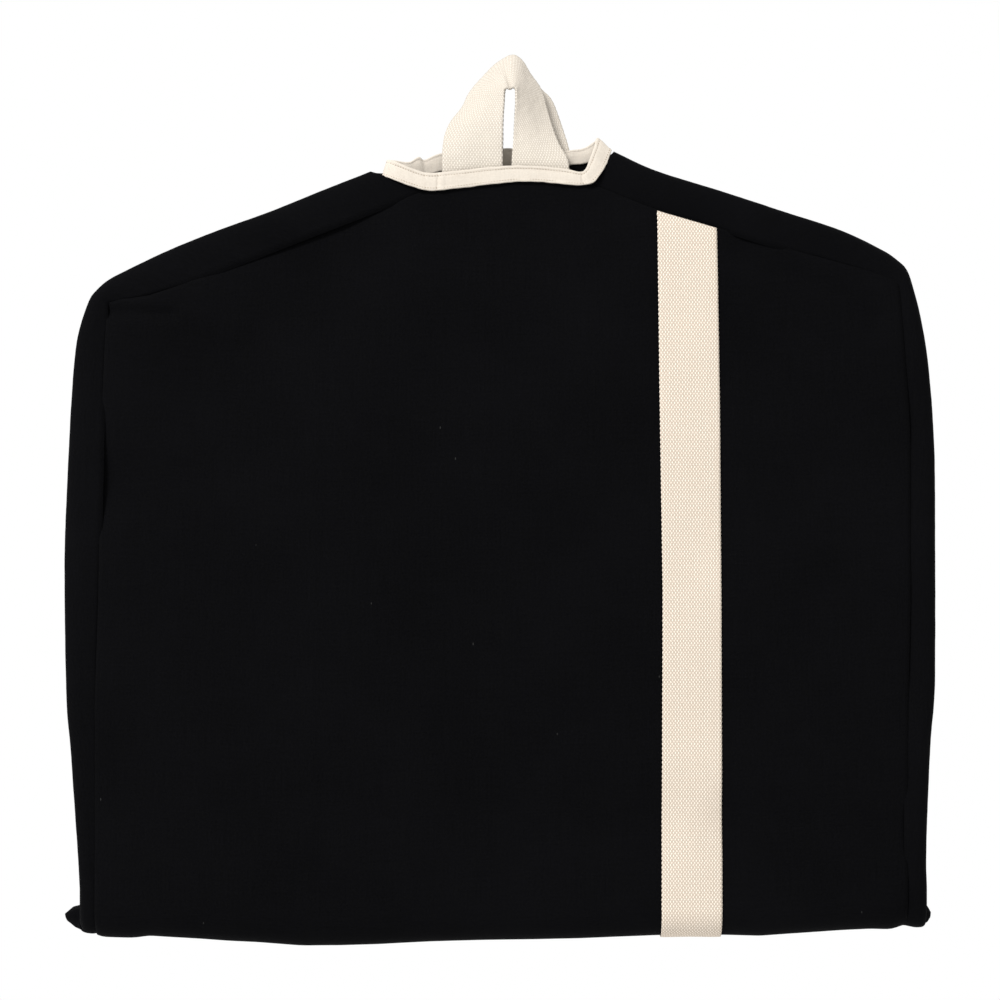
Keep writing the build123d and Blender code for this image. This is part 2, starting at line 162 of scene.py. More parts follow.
def spline(points, count, closed=False):
    """Evenly parametrised Catmull-Rom curve through points of any dimension."""
    p = np.array(points, float)
    if closed:
        p = np.vstack([p[-1], p, p[0], p[1]])
    else:
        p = np.vstack([2 * p[0] - p[1], p, 2 * p[-1] - p[-2]])
    spans = len(p) - 3
    t = np.linspace(0, spans, count, endpoint=not closed)
    i = np.minimum(t.astype(int), spans - 1)
    f = (t - i)[:, None]
    a, b, c, d = p[i], p[i + 1], p[i + 2], p[i + 3]
    square = 2 * a - 5 * b + 4 * c - d
    cube = 3 * b - a - 3 * c + d
    return 0.5 * (2 * b + (c - a) * f + square * f**2 + cube * f**3)


def even(curve, count):
    """A curve's points again, at even steps of its length."""
    steps = np.r_[0, np.cumsum(np.linalg.norm(np.diff(curve, axis=0), axis=1))]
    wanted = np.linspace(0, steps[-1], count)
    return np.stack([np.interp(wanted, steps, curve[:, k]) for k in range(curve.shape[1])], axis=1)


def ripple(u, v, size, seed, waves=7):
    """Seeded smooth unevenness, about -1 to 1, with features of about this size."""
    rng = np.random.default_rng(seed)
    total = np.zeros(np.broadcast(u, v).shape)
    for _ in range(waves):
        heading, phase = rng.uniform(0, math.pi), rng.uniform(0, 2 * math.pi)
        pitch = size * rng.uniform(0.7, 1.6)
        place = u * math.cos(heading) + v * math.sin(heading)
        total = total + np.sin(place * 2 * math.pi / pitch + phase)
    return total / math.sqrt(2 * waves)


# ---------------------------------------------------------------- meshes
def normals_of(p):
    """Unit normals of a grid of points, rows by columns."""
    n = np.cross(np.gradient(p, axis=0), np.gradient(p, axis=1))
    return n / np.maximum(np.linalg.norm(n, axis=2, keepdims=True), 1e-9)


def new_piece(name, vertices, faces, material, cloth=None):
    """A mesh object in metres from points in millimetres."""
    mesh = bpy.data.meshes.new(name)
    mesh.from_pydata((np.asarray(vertices) * MM).tolist(), [], faces)
    if cloth is not None:
        layer = mesh.attributes.new("cloth", "FLOAT_VECTOR", "POINT")
        layer.data.foreach_set("vector", np.asarray(cloth, np.float32).ravel())
    mesh.polygons.foreach_set("use_smooth", [True] * len(mesh.polygons))
    mesh.update()
    piece = bpy.data.objects.new(name, mesh)
    bpy.context.scene.collection.objects.link(piece)
    mesh.materials.append(material)
    return piece


def sheet(name, p, thickness, material, outward=1, cloth=None):
    """A closed sheet of cloth: the grid p is its outer face, and the inner one lies a thickness inside.

    Outward is 1 or -1, for the side of the grid that is outside. Cloth gives each point's place in the weave.
    """
    rows, cols = p.shape[:2]
    inner = p - outward * thickness * normals_of(p)
    vertices = np.concatenate([p.reshape(-1, 3), inner.reshape(-1, 3)])
    if cloth is None:
        steps_u = np.linalg.norm(np.diff(p, axis=1), axis=2)
        steps_v = np.linalg.norm(np.diff(p, axis=0), axis=2)
        u = np.concatenate([np.zeros((rows, 1)), np.cumsum(steps_u, axis=1)], axis=1)
        v = np.concatenate([np.zeros((1, cols)), np.cumsum(steps_v, axis=0)], axis=0)
        middle = cols // 2
        u = u - u[:, middle : middle + 1] + p[:, middle : middle + 1, 0]
        v = v - v[-1]
        cloth = np.stack([u, v, np.zeros_like(u)], axis=2)
    cloth = np.concatenate([cloth.reshape(-1, 3)] * 2)
    index = np.arange(rows * cols).reshape(rows, cols)
    a, b, c, d = index[:-1, :-1], index[:-1, 1:], index[1:, 1:], index[1:, :-1]
    front = np.stack([a, d, c, b], axis=2).reshape(-1, 4)
    n = rows * cols
    faces = [front, front[:, ::-1] + n]
    for rim in (index[0, ::-1], index[-1], index[:, 0], index[::-1, -1]):
        faces.append(np.stack([rim[:-1], rim[1:], rim[1:] + n, rim[:-1] + n], axis=1)[:, ::-1])
    faces = np.concatenate(faces)
    if outward < 0:
        faces = faces[:, ::-1]
    return new_piece(name, vertices, faces.tolist(), material, cloth)


# ---------------------------------------------------------------- materials
class Graph:
    """Short names for building a material's nodes."""

    def __init__(self, name):
        self.material = bpy.data.materials.new(name)
        self.material.use_nodes = True
        self.tree = self.material.node_tree
        self.shader = self.tree.nodes["Principled BSDF"]

    def node(self, kind, **values):
        made = self.tree.nodes.new(kind)
        for key, value in values.items():
            setattr(made, key, value)
        return made

    def link(self, source, socket):
        if isinstance(source, (int, float, tuple)):
            socket.default_value = source
        else:
            self.tree.links.new(source, socket)

    def math(self, operation, *inputs, clamp=False):
        made = self.node("ShaderNodeMath", operation=operation, use_clamp=clamp)
        for source, socket in zip(inputs, made.inputs):
            self.link(source, socket)
        return made.outputs[0]

    def noise(self, vector, scale, detail=2.0, roughness=0.5):
        made = self.node("ShaderNodeTexNoise")
        self.link(vector, made.inputs["Vector"])
        self.link(scale, made.inputs["Scale"])
        self.link(detail, made.inputs["Detail"])
        self.link(roughness, made.inputs["Roughness"])
        return made.outputs["Fac"]

    def stretch(self, vector, scale):
        made = self.node("ShaderNodeVectorMath", operation="MULTIPLY")
        self.link(vector, made.inputs[0])
        self.link(scale, made.inputs[1])
        return made.outputs[0]

    def mix(self, factor, first, second, blend="MIX"):
        made = self.node("ShaderNodeMix", data_type="RGBA", blend_type=blend)
        self.link(factor, made.inputs["Factor"])
        for source, socket in ((first, made.inputs[6]), (second, made.inputs[7])):
            if isinstance(source, tuple):
                socket.default_value = (*source, 1.0)
            else:
                self.tree.links.new(source, socket)
        return made.outputs[2]

    def ramp(self, factor, low, high):
        made = self.node("ShaderNodeMapRange")
        self.link(factor, made.inputs["Value"])
        made.inputs["From Min"].default_value = low
        made.inputs["From Max"].default_value = high
        return made.outputs[0]

    def bump(self, height, strength, distance, normal=None):
        made = self.node("ShaderNodeBump")
        made.inputs["Strength"].default_value = strength
        made.inputs["Distance"].default_value = distance
        self.link(height, made.inputs["Height"])
        if normal is not None:
            self.link(normal, made.inputs["Normal"])
        return made.outputs[0]


def weave_height(g, warp, weft, sunk):
    """Height of a plain weave, 0 to 1: threads of both directions pass over and under in turn.

    Warp and weft count threads, so each thread is 1 wide. Sunk is the weft's height beside the warp's.
    """
    threads = []
    for this, other, start in ((warp, weft, 0.0), (weft, warp, 1.0)):
        number = g.math("FLOOR", this)
        round_top = g.math("SINE", g.math("MULTIPLY", g.math("FRACT", this), math.pi))
        beat = g.math("ADD", g.math("ADD", other, number), start - 0.5)
        over = g.math("MULTIPLY_ADD", g.math("COSINE", g.math("MULTIPLY", beat, math.pi)), 0.5, 0.5)
        threads.append(g.math("MULTIPLY", g.math("POWER", round_top, 0.6), over))
    return g.math("MAXIMUM", threads[0], g.math("MULTIPLY", threads[1], sunk)), threads[0]


def woven(
    name, thread, gap, warp_pitch, weft_pitch, bump, gloss,
    sheen=0.0, fleck=0.0, uneven=0.12, tint=None, sunk=1.0,
):
    """A woven cloth. Pitches are in millimetres, and colours are linear.

    Tint is the colour of its darker threads, fleck the share of places with a speck of lint on them.
    """
    g = Graph(name)
    place = g.node("ShaderNodeAttribute", attribute_name="cloth").outputs["Vector"]
    wobble = g.noise(place, 0.35, 2.0)
    parts = g.node("ShaderNodeSeparateXYZ")
    g.link(place, parts.inputs[0])
    warp = g.math("ADD", g.math("DIVIDE", parts.outputs[0], warp_pitch), g.math("MULTIPLY", wobble, 0.5))
    weft = g.math("ADD", g.math("DIVIDE", parts.outputs[1], weft_pitch), g.math("MULTIPLY", wobble, -0.5))
    height, warp_part = weave_height(g, warp, weft, sunk)
    slub_warp = g.noise(g.stretch(place, (1.1 / warp_pitch, 0.03, 1.0)), 1.0, 1.0)
    slub_weft = g.noise(g.stretch(place, (0.03, 1.1 / weft_pitch, 1.0)), 1.0, 1.0)
    slub = g.math("MULTIPLY", g.math("ADD", slub_warp, slub_weft), 0.5)
    cloudy = g.noise(place, 0.009, 3.0, 0.55)
    fuzz = g.noise(place, 0.7, 4.0, 0.85)
    # Painted shade: where the weave lies low, between the threads and on the sunk weft, the colour goes towards
    # gap, for the plain and the darker threads alike.
    cover = g.ramp(height, 0.1, 0.75)
    colour = g.mix(cover, gap, thread)
    if tint is not None:
        colour = g.mix(g.ramp(slub, 0.42, 0.62), colour, g.mix(cover, gap, tint))
    tone = g.math("ADD", g.math("MULTIPLY", g.math("SUBTRACT", slub, 0.5), 1.4 * uneven), 1.0)
    tone = g.math("ADD", tone, g.math("MULTIPLY", g.math("SUBTRACT", cloudy, 0.5), 1.3 * uneven))
    tone = g.math("ADD", tone, g.math("MULTIPLY", g.math("SUBTRACT", fuzz, 0.5), 3.6 * uneven))
    shade = g.node("ShaderNodeCombineColor")
    for socket in shade.inputs:
        g.link(tone, socket)
    colour = g.mix(1.0, colour, shade.outputs[0], "MULTIPLY")
    if fleck:
        cells = g.node("ShaderNodeTexVoronoi")
        g.link(g.stretch(place, (1.0, 0.35, 1.0)), cells.inputs["Vector"])
        cells.inputs["Scale"].default_value = 0.09
        lint = g.math("LESS_THAN", cells.outputs["Distance"], 0.028)
        chosen = g.node("ShaderNodeSeparateColor")
        g.link(cells.outputs["Color"], chosen.inputs[0])
        lint = g.math("MULTIPLY", lint, g.math("GREATER_THAN", chosen.outputs[0], 1.0 - fleck))
        colour = g.mix(g.math("MULTIPLY", lint, 0.2), colour, (0.09, 0.09, 0.085))
    g.tree.links.new(colour, g.shader.inputs["Base Color"])
    rough = g.math("MULTIPLY_ADD", fuzz, 0.12, 0.84)
    g.tree.links.new(rough, g.shader.inputs["Roughness"])
    relief = g.math("ADD", height, g.math("MULTIPLY", fuzz, 0.35))
    normal = g.bump(relief, bump, 0.35 * MM)
    g.tree.links.new(normal, g.shader.inputs["Normal"])
    g.shader.inputs["Specular IOR Level"].default_value = gloss
    g.shader.inputs["Sheen Weight"].default_value = sheen
    g.shader.inputs["Sheen Roughness"].default_value = 0.5
    return g.material


black_canvas = woven(
    "black_canvas", (0.0021, 0.0021, 0.0025), (0.0008, 0.0008, 0.0010), 0.62, 0.68, 0.4, 0.02,
    sheen=0.004, fleck=0.16, uneven=0.6,
)
zip_tape = woven("zip_tape", (0.0045, 0.0045, 0.005), (0.0015, 0.0015, 0.0018), 0.5, 0.9, 0.4, 0.08, uneven=0.2)
natural_canvas = woven(
    "natural_canvas", (0.55, 0.507, 0.445), (0.37, 0.32, 0.26), 0.62, 0.68, 0.4, 0.12, tint=(0.50, 0.452, 0.392)
)
stripe_webbing = woven(
    "stripe_webbing", (0.69, 0.616, 0.532), (0.28, 0.23, 0.175), 1.05, 1.5, 0.7, 0.12,
    tint=(0.635, 0.56, 0.477), sunk=0.4,
)
handle_webbing = woven(
    "handle_webbing", (0.585, 0.542, 0.48), (0.33, 0.29, 0.24), 1.05, 1.5, 0.6, 0.12,
    tint=(0.54, 0.497, 0.435), sunk=0.45,
)


def thread_material(name, colour):
    """Twisted sewing thread."""
    g = Graph(name)
    place = g.node("ShaderNodeTexCoord").outputs["Object"]
    ply = g.node("ShaderNodeTexWave", bands_direction="DIAGONAL")
    g.link(place, ply.inputs["Vector"])
    ply.inputs["Scale"].default_value = 900
    # Painted shade: where the ply bump is low, in the grooves between the twisted plies, the colour drops to
    # seven tenths.
    tone = g.mix(ply.outputs["Fac"], tuple(0.7 * c for c in colour), colour)
    g.tree.links.new(tone, g.shader.inputs["Base Color"])
    g.shader.inputs["Roughness"].default_value = 0.6
    g.tree.links.new(g.bump(ply.outputs["Fac"], 0.5, 0.1 * MM), g.shader.inputs["Normal"])
    return g.material


# The stitches' dark tan is partly the thread's own colour and partly painted shade, standing in for the small
# shadows between the stitches.
thread_with_painted_shade = thread_material("thread_with_painted_shade", (0.36, 0.28, 0.2))


def hard_material(name, colour, roughness, metallic):
    """Nylon or plated metal, with fine handling marks."""
    g = Graph(name)
    place = g.node("ShaderNodeTexCoord").outputs["Object"]
    scuff = g.noise(place, 900, 4.0, 0.65)
    g.tree.links.new(g.mix(scuff, tuple(0.75 * c for c in colour), colour), g.shader.inputs["Base Color"])
    g.tree.links.new(g.math("MULTIPLY_ADD", scuff, 0.25, roughness - 0.12), g.shader.inputs["Roughness"])
    g.shader.inputs["Metallic"].default_value = metallic
    g.tree.links.new(g.bump(scuff, 0.15, 0.05 * MM), g.shader.inputs["Normal"])
    return g.material


coil_nylon = hard_material("coil_nylon", (0.012, 0.012, 0.014), 0.42, 0.0)
dark_metal = hard_material("dark_metal", (0.16, 0.155, 0.15), 0.34, 1.0)


# ---------------------------------------------------------------- the run of every layer
def fold_centre(x, radius):
    """Height of the centre that a layer of this radius turns round at the fold, at each x."""
    outer = along(behind(FOLD_LINE, 0.0), x) + OUTER_RADIUS
    share = (np.asarray(radius, float) - INNER_RADIUS) / (OUTER_RADIUS - INNER_RADIUS)
    return INNER_FOLD_CENTRE + (outer - INNER_FOLD_CENTRE) * share


def no_lift(x, z):
    """A layer that lies flat."""
    return np.zeros_like(x)


def half_run(x_at, top, radius, rows, turn_rows, lift=no_lift, lower=False):
    """A layer's grid from its top edge down one half to the middle of the fold.

    x_at(z) gives the columns' x at each height. Top is the height of each column's upper end.
    Radius is the layer's distance from the plane y = 0. Lift moves the layer outwards, away from y = 0.
    """
    side = 1 if lower else -1
    columns = len(top)
    turn_radius = np.broadcast_to(np.asarray(radius, float), (columns,))
    x_low = x_at(np.full(columns, -545.0))
    centre = fold_centre(x_low, turn_radius)
    t = np.linspace(0, 1, rows)[:, None]
    z = top + (centre - top) * t
    x = np.stack([x_at(row) for row in z])
    out = turn_radius + lift(x, z)
    straight = np.stack([x, side * out, z], axis=2)
    turn = np.linspace(0, math.pi / 2, turn_rows + 1)[1:, None]
    x_turn, z_turn = np.tile(x[-1], (turn_rows, 1)), np.tile(z[-1], (turn_rows, 1))
    reach = turn_radius + lift(x_turn, z_turn)
    bend = np.stack([x_turn, side * reach * np.cos(turn), centre - reach * np.sin(turn)], axis=2)
    return np.concatenate([straight, bend])


def crossing(piece, lower=False):
    """Bakes the transform of a piece whose cloth passes from a half into the fold strip."""
    side = -1 if lower else 1
    start, end = ((0, side * y * MM, z * MM) for _, y, z in (FOLD_START, FOLD_END))
    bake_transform(piece)
    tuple(start)
    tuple(end)
    return piece


# ---------------------------------------------------------------- striped panel
def seam_distance(x, z):
    """Distance to the nearest seam of the upper half's striped panel."""
    top = along(SHOULDER_LEFT + FRONT_NECK + SHOULDER_RIGHT, x)
    sides = np.minimum(x - across(SIDE_LEFT, z), across(SIDE_RIGHT, z) - x)
    return np.maximum(np.minimum(sides, (top - z) * 0.93), 0)


def panel_lift(x, z):
    """How far the upper half's striped panel stands proud of the CAD panel."""
    lift = 1.9 * (1 - np.exp(-seam_distance(x, z) / 7.0)) - 1.9
    for x0, z0, x1, z1, width, height in CREASES:
        run = np.array([x1 - x0, z1 - z0], float)
        t = ((x - x0) * run[0] + (z - z0) * run[1]) / (run @ run)
        nearest = np.clip(t, 0, 1)
        gap = np.hypot(x - x0 - nearest * run[0], z - z0 - nearest * run[1])
        lift = lift + 2.8 * height * np.exp(-((gap / width) ** 2))
    lift = lift + 0.55 * ripple(x, z, 130, 3) + 0.16 * ripple(x, z, 34, 4) + 0.03 * ripple(x, z, 9, 5)
    near_fold = np.clip((z + 560) / 60, 0, 1)
    return lift * near_fold


def lower_lift(x, z):
    """The same for the lower half, whose seams lie at the sides and the hem."""
    edge = np.minimum(np.minimum(x + 268, 266 - x), HEM_Z - z)
    lift = 1.9 * (1 - np.exp(-np.maximum(edge, 0) / 7.0)) - 1.9
    lift = lift + 0.6 * ripple(x, z, 150, 13) + 0.16 * ripple(x, z, 36, 14)
    return lift * np.clip((z + 560) / 60, 0, 1)


def panel_x(share):
    """Columns of the upper striped panel, as a function of height."""
    return lambda z: across(SIDE_LEFT, z) * (1 - share) + across(SIDE_RIGHT, z) * share


def hem_corner(x):
    """Height of the lower half's top seam, rounded at its corners."""
    over = np.maximum(np.abs(x) - CORNER_X, 0)
    return HEM_Z - CORNER_RADIUS + np.sqrt(np.maximum(CORNER_RADIUS**2 - over**2, 0))


def striped_panel():
    """Both halves of the panel that carries the stripe, each to the middle of the fold."""
    columns = 190
    share = np.linspace(0, 1, columns)
    x_top = -264.2 * (1 - share) + 258.0 * share
    top = along(SHOULDER_LEFT + FRONT_NECK + SHOULDER_RIGHT, x_top)
    grid = half_run(panel_x(share), top, OUTER_RADIUS, 170, 14, panel_lift)
    upper = sheet("striped_panel_upper", grid, CANVAS, black_canvas)
    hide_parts("front_panel_upper", "front_panel_fold")
    crossing(upper)
    hem_x = -264 * (1 - share) + 263.5 * share
    taper = 7.3 * (1 - share) + 1.1 * share

    def lower_x(z):
        return hem_x + (z - HEM_Z) * taper / HEM_RISE

    grid = half_run(lower_x, hem_corner(hem_x), OUTER_RADIUS, 130, 14, lower_lift, True)
    lower = sheet("striped_panel_lower", grid, CANVAS, black_canvas, outward=-1)
    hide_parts("front_panel_lower")
    crossing(lower, lower=True)


striped_panel()


# ---------------------------------------------------------------- gussets
def gusset_section(seam, outer, back_seam, count, puff, seed):
    """A gusset's grid: stations along it by points from its front seam, over its roll, to its back seam.

    Each station gives depth from the half's middle (front is positive), and a place in x, z.
    """
    turn = np.linspace(-math.pi / 2, math.pi / 2, count)[None, :]
    rows = len(seam)
    base = seam[:, None] + (back_seam - seam)[:, None] * ((1 + np.sin(turn)) / 2)[..., None]
    swell = np.cos(turn) ** 0.8
    place = base + (outer[:, None] - base) * swell[..., None]
    station = np.linspace(0, rows * 3.0, rows)[:, None]
    depth = -1.6 - 5.2 * np.sin(turn) - puff * np.sin(2 * turn)
    pucker = 0.45 * ripple(station, turn * 12, 26, seed) + 0.25 * ripple(station, turn * 12, 9, seed + 1)
    depth = depth + pucker * np.cos(turn) * np.where(turn < 0, 1, -1)
    return place, depth


def with_turn(place, depth, turn_rows, bunch, lower=False):
    """A gusset's points: straight along its half, then from its last station round to the middle of the fold.

    Bunch says how far x moves at each angle of the turn.
    """
    side = 1 if lower else -1
    grid = np.stack([place[..., 0], side * (HALF_Y + depth), place[..., 1]], axis=2)
    radius = HALF_Y + depth[-1]
    x_last = place[-1, :, 0]
    fullness = np.cos(np.linspace(-math.pi / 2, math.pi / 2, len(x_last)))
    centre = fold_centre(x_last, radius) - 3.0 * fullness
    turn = np.linspace(0, math.pi / 2, turn_rows + 1)[1:, None]
    x = x_last + bunch(turn, x_last)
    bend = np.stack([x, side * radius * np.cos(turn), centre - radius * np.sin(turn)], axis=2)
    turn_start = np.stack([x_last, side * radius, centre], axis=1)
    easing = grid[-1] + (turn_start - grid[-1]) * np.linspace(0.2, 1, 5)[:, None, None]
    return np.concatenate([grid, easing, bend])


def no_bunch(turn, x):
    """A gusset that turns with its x unchanged."""
    return np.zeros(np.broadcast(turn, x).shape)


def upper_gusset(name, seam, outer, back_start, outward, seed):
    """One side of the upper half's gusset, from the neck over the shoulder to the fold."""
    rows, section, samples = 260, 25, 4000
    seam, outer = np.array(seam, float), np.array(outer, float)
    seam[-1, 1] = outer[-1, 1] = TURN_Z
    knots = np.linspace(0, 1, len(seam))
    length = np.r_[0, np.cumsum(np.hypot(*np.diff((seam + outer) / 2, axis=0).T))]
    fine = np.interp(np.linspace(0, length[-1], rows), length, knots) * (len(seam) - 1)
    both = spline(np.hstack([seam, outer]), samples)
    both = both[(fine / (len(seam) - 1) * (samples - 1)).astype(int)]
    front, reach = both[:, :2], both[:, 2:]
    inward = front - reach
    front = front + 2.0 * inward / np.linalg.norm(inward, axis=1, keepdims=True)
    fade = np.exp(-np.linspace(0, length[-1], rows) / 45)[:, None]
    back = front + (np.array(back_start) - front[0]) * fade
    place, depth = gusset_section(front, reach, back, section, 2.1, seed)
    grid = with_turn(place, depth, 14, no_bunch)
    piece = sheet(name, grid, CANVAS, black_canvas, outward)
    return crossing(piece)


left = upper_gusset("gusset_upper_left", SEAM_LEFT, OUTER_LEFT, (-52, -50.5), 1, 21)
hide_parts("side_gusset_upper_left", "side_gusset_fold_left")
right = upper_gusset("gusset_upper_right", SEAM_RIGHT, OUTER_RIGHT, (52, -46.5), -1, 31)
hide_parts("side_gusset_upper_right", "side_gusset_fold_right")


# How far the lower half's gusset stands out past its seam, from the fold up: height, left, right
LOWER_REACH = [
    (-553.6, 11.4, 10.7), (-552.4, 17, 14.5), (-550, 21.5, 16.5), (-547, 22.5, 17), (-543, 18.5, 15),
    (-538, 12.5, 12.5), (-530, 11.5, 11), (-500, 11.5, 10), (-434, 14, 11), (-300, 17, 13), (-237, 16, 11),
    (-200, 14, 8), (-172, 13, 6.5), (-150, 13, 8),
]


def lower_gusset(name, from_left, seed):
    """One side of the lower half's gusset with half of the hem's, from the fold to the hem's middle."""
    side = -1 if from_left else 1
    foot = -271.0 if from_left else 264.5
    top = side * 264.0
    angle = np.linspace(0, math.pi / 2, 9)
    corner_x = side * (CORNER_X + CORNER_RADIUS * np.cos(angle))
    corner_z = HEM_Z - CORNER_RADIUS + CORNER_RADIUS * np.sin(angle)
    bends = [(foot, TURN_Z), (foot + (top - foot) * 0.6, -300.0), *zip(corner_x, corner_z), (0, HEM_Z)]
    path = even(np.array(bends), 240)
    heading = np.gradient(path, axis=0)
    heading /= np.linalg.norm(heading, axis=1, keepdims=True)
    out = side * np.stack([heading[:, 1], -heading[:, 0]], axis=1)
    heights, left_reach, right_reach = np.array(LOWER_REACH).T
    reach = np.interp(path[:, 1], heights, left_reach if from_left else right_reach)
    outer = path + out * reach[:, None]
    outer[:, 0] += 0.8 * ripple(np.arange(240.0), 0, 30, seed)
    place, depth = gusset_section(path, outer, path, 25, 2.0, seed + 1)

    def bunch(turn, x):
        height = -542 - HALF_Y * np.sin(turn)
        wanted = np.interp(height, heights, left_reach if from_left else right_reach)
        share = np.clip((np.abs(x) - abs(foot)) / max(reach[0], 1), 0, 1)
        return side * (wanted - reach[0]) * share

    grid = with_turn(place[::-1], depth[::-1], 14, bunch, True)
    piece = sheet(name, grid, CANVAS, black_canvas, outward=-1 if from_left else 1)
    return crossing(piece, lower=True)


left = lower_gusset("gusset_lower_left", True, 41)
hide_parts("side_gusset_lower_left", "hem_gusset")
right = lower_gusset("gusset_lower_right", False, 51)
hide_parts("side_gusset_lower_right")


# ---------------------------------------------------------------- back panels, between the halves
def back_panel(side, lower):
    """One back panel, from the zip to its side seam."""
    half = "lower" if lower else "upper"
    hand = "left" if side < 0 else "right"
    edge = side * ZIP_EDGE
    share = np.linspace(0, 1, 70)
    seam_x = SIDE_LEFT if side < 0 else SIDE_RIGHT
    seam_top = 257.6 if side > 0 and not lower else 264
    taper = 7.0 if side < 0 else 0.5
    x_top = side * (ZIP_EDGE + (seam_top - ZIP_EDGE) * share)
    if lower:
        top = hem_corner(x_top)
    else:
        top = along(SHOULDER_LEFT + [(-50, -64.5), (50, -62)] + SHOULDER_RIGHT, x_top)
        top = top + 16.0 * np.exp(-np.maximum(np.abs(x_top) - 52, 0) / 45)

    def x_at(z):
        if lower:
            return x_top + side * share * (HEM_Z - z) / HEM_RISE * taper
        return edge + (across(seam_x, z) - edge) * share

    def lift(x, z):
        waves = 0.5 * ripple(x, z, 120, 61 + side) + 0.12 * ripple(x, z, 30, 63)
        return waves * np.clip((z + 540) / 60, 0, 1)

    grid = half_run(x_at, top, INNER_RADIUS - 1.0, 120, 8, lift, lower)
    piece = sheet(f"back_panel_{half}_{hand}", grid, CANVAS, black_canvas, -side if lower else side)
    if lower:
        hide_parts(f"back_panel_lower_{hand}")
    else:
        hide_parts(f"back_panel_upper_{hand}", f"back_panel_fold_{hand}")
    crossing(piece, lower)


for side in (-1, 1):
    for lower in (False, True):
        back_panel(side, lower)


# ---------------------------------------------------------------- zip
ZIP_TOP, ZIP_FOOT = -59.0, HEM_Z - 6
COIL_RADIUS = INNER_RADIUS + 0.1
COIL_PITCH = 1.55
# One turn of a coil seen along the zip: distance from its edge, and height
COIL_LOOP = [
    (0.25, 0.75), (1.3, 0.95), (2.6, 0.6), (2.9, 0.0), (2.6, -0.6), (1.3, -0.95), (0.25, -0.75), (0.0, 0.0),
]


def zip_side(side, lower):
    """A zip tape and its coil, on one side of one half."""
    half = "lower" if lower else "upper"
    hand = "left" if side < 0 else "right"
    top = ZIP_FOOT if lower else ZIP_TOP
    columns = 14
    tape_x = side * (3.3 + 12.7 * np.linspace(0, 1, columns))

    def x_at(z):
        return tape_x

    tape_top = np.full(columns, top + 3.0)
    grid = half_run(x_at, tape_top, INNER_RADIUS + 0.15, 110, 8, no_lift, lower)
    tape = sheet(f"zip_tape_{half}_{hand}", grid, 0.6, zip_tape, outward=-side if lower else side)
    run = half_run(np.zeros_like, np.array([top]), COIL_RADIUS, 700, 24, no_lift, lower)[:, 0]
    run = even(run, int(np.linalg.norm(np.diff(run, axis=0), axis=1).sum() / COIL_PITCH))
    heading = np.gradient(run, axis=0)
    heading /= np.linalg.norm(heading, axis=1, keepdims=True)
    out = np.cross((1.0, 0, 0), heading)
    vertices, faces = [], []
    for centre, ahead, up in zip(run, heading, out):
        start = len(vertices)
        stagger = ahead * (0.39 if side > 0 else -0.39)
        for across_it, rise in COIL_LOOP:
            aside = np.array([side * (0.35 + across_it), 0, 0])
            for along_it in (-0.36, 0.36):
                vertices.append(centre + stagger + ahead * along_it + up * rise + aside)
        n = len(COIL_LOOP)
        for m in range(n):
            a, b = start + 2 * m, start + 2 * ((m + 1) % n)
            faces.append((a, b, b + 1, a + 1))
        faces.append(tuple(start + 2 * m for m in reversed(range(n))))
        faces.append(tuple(start + 2 * m + 1 for m in range(n)))
    coil = new_piece(f"zip_coil_{half}_{hand}", vertices, faces, coil_nylon)
    for piece, part in ((tape, "zip_tape"), (coil, "zip_coil")):
        nodes = [f"{part}_{half}_{hand}"]
        if not lower:
            nodes.append(f"{part}_fold_{hand}")
        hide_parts(*nodes)
        crossing(piece, lower)


for side in (-1, 1):
    for lower in (False, True):
        zip_side(side, lower)
for node in ("slider_body", "pull_tab", "zip_top_stop_left", "zip_top_stop_right", "zip_bottom_stop"):
    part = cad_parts[node]
    part.data.materials.clear()
    part.data.materials.append(dark_metal)


# ---------------------------------------------------------------- webbing stripe
STRIPE_LEFT = [(98.2, -80), (99.7, -200), (101.7, -330), (101.0, -560)]
STRIPE_RIGHT = [(136.6, -80), (138.6, -200), (139.6, -330), (140.4, -560)]
SELVAGE_PITCH = 3.0


def selvage(z):
    """The small scallops that the weft makes along a webbing's edge."""
    return 0.4 * np.abs(np.sin(math.pi * z / SELVAGE_PITCH))


def stripe(lower):
    """One half of the webbing stripe, which lies on the striped panel and is tucked into its top seam."""
    columns, rows = 27, 480 if lower else 620
    share = np.linspace(0, 1, columns)

    def x_at(z):
        left_x, right_x = across(STRIPE_LEFT, z), across(STRIPE_RIGHT, z)
        bulge = selvage(z)
        return (left_x - bulge) * (1 - share) + (right_x + bulge) * share

    middle = 99 * (1 - share) + 137.5 * share
    top = np.full(columns, HEM_Z - 3.0) if lower else along(SHOULDER_RIGHT, middle) - 0.6
    crown = 0.25 * (1 - (2 * share - 1) ** 8)
    base = lower_lift if lower else panel_lift

    def lift(x, z):
        tuck = 1.0 if lower else np.clip((top - z) / 4, 0, 1)
        return base(x, z) + (WEBBING + crown) * (0.35 + 0.65 * tuck) * 0.85

    grid = half_run(x_at, top, OUTER_RADIUS, rows, 46, lift, lower)
    length = -grid[..., 2]
    angle = np.linspace(0, math.pi / 2, len(grid) - rows + 1)[1:, None]
    length[rows:] = length[rows - 1] + OUTER_RADIUS * angle
    cloth = np.stack([np.broadcast_to(share * 39, length.shape), length, np.zeros_like(length)], axis=2)
    hand = -1 if lower else 1
    name = f"stripe_{'lower' if lower else 'upper'}"
    piece = sheet(name, grid, WEBBING * 0.8, stripe_webbing, outward=hand, cloth=cloth)
    if lower:
        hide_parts("stripe_lower")
    else:
        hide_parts("stripe_upper", "stripe_fold")
    crossing(piece, lower)


stripe(False)
stripe(True)

